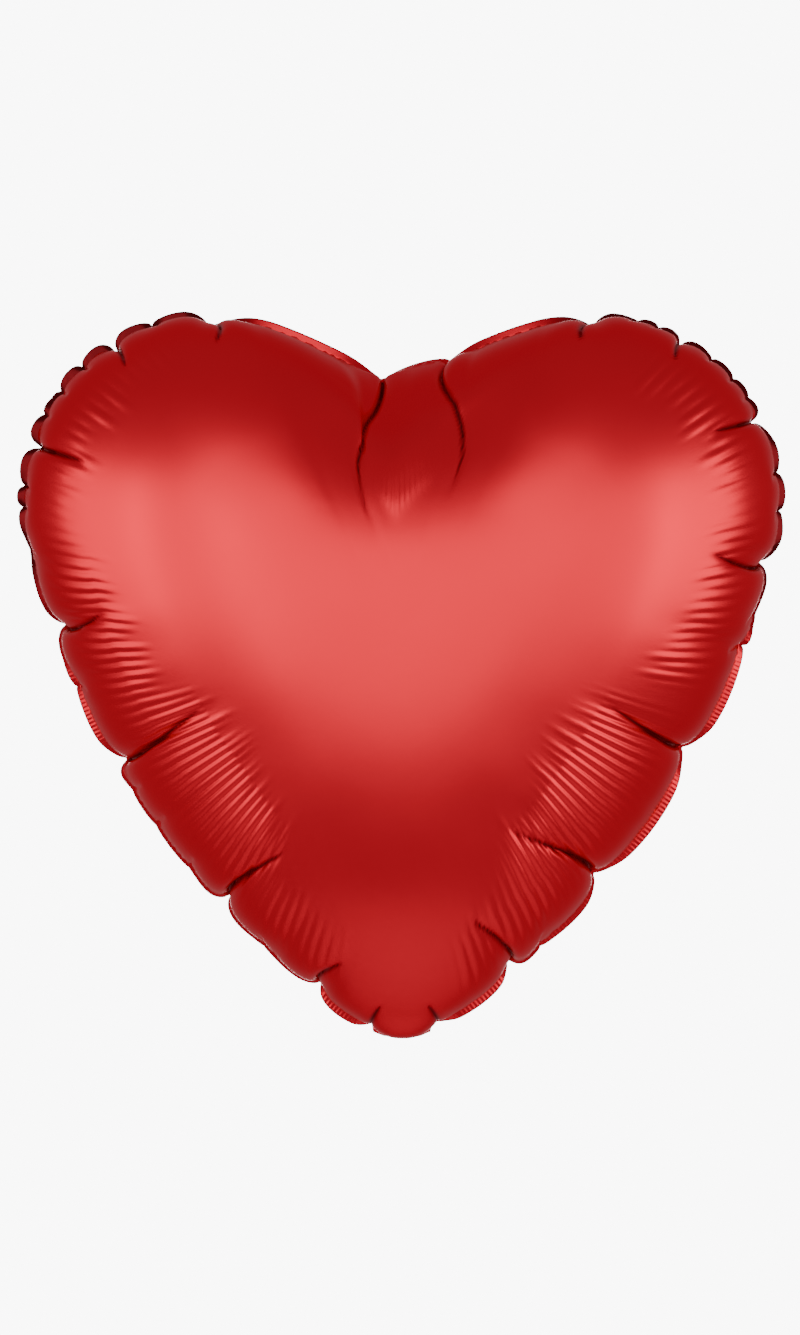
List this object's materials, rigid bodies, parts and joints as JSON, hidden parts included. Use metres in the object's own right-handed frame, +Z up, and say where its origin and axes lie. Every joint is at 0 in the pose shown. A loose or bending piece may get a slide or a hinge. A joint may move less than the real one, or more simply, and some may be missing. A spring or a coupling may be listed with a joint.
{
  "type": "heart-shaped foil balloon",
  "caption": "Inflated heart of two heat-sealed film panels with a flat border, a self-sealing valve and a folding neck with fill and ribbon holes",
  "frame": {"origin": "middle of the neck's root on the seam plane, at the tip of the heart, where a ribbon is tied", "axes": "+Z up from the neck to the lobes, +X to the right seen from the front, +Y from the front face to the back face"},
  "size_m": [0.382, 0.2, 0.3621],
  "materials": {
    "red_foil": "satin metallised film, red",
    "seam_foil": "heat-sealed metallised film, red",
    "neck_foil": "satin metallised film, red",
    "valve_film": "clear soft film",
    "release_print": "matt white print"
  },
  "bodies": {
    "envelope": {"front_panel": "red_foil", "back_panel": "red_foil", "front_seam": "seam_foil", "back_seam": "seam_foil", "valve_front_film": "valve_film", "valve_back_film": "valve_film", "release_coating": "release_print"},
    "neck": {"neck_front_layer": "neck_foil", "neck_back_layer": "neck_foil", "valve_mouth_front": "valve_film", "valve_mouth_back": "valve_film"}
  },
  "joints": [
    {"name": "neck_fold", "type": "hinge", "parent": "envelope", "child": "neck", "pos_m": [0, 0, -0.001], "axis": [-1, 0, 0], "range_deg": [0, 110]}
  ]
}
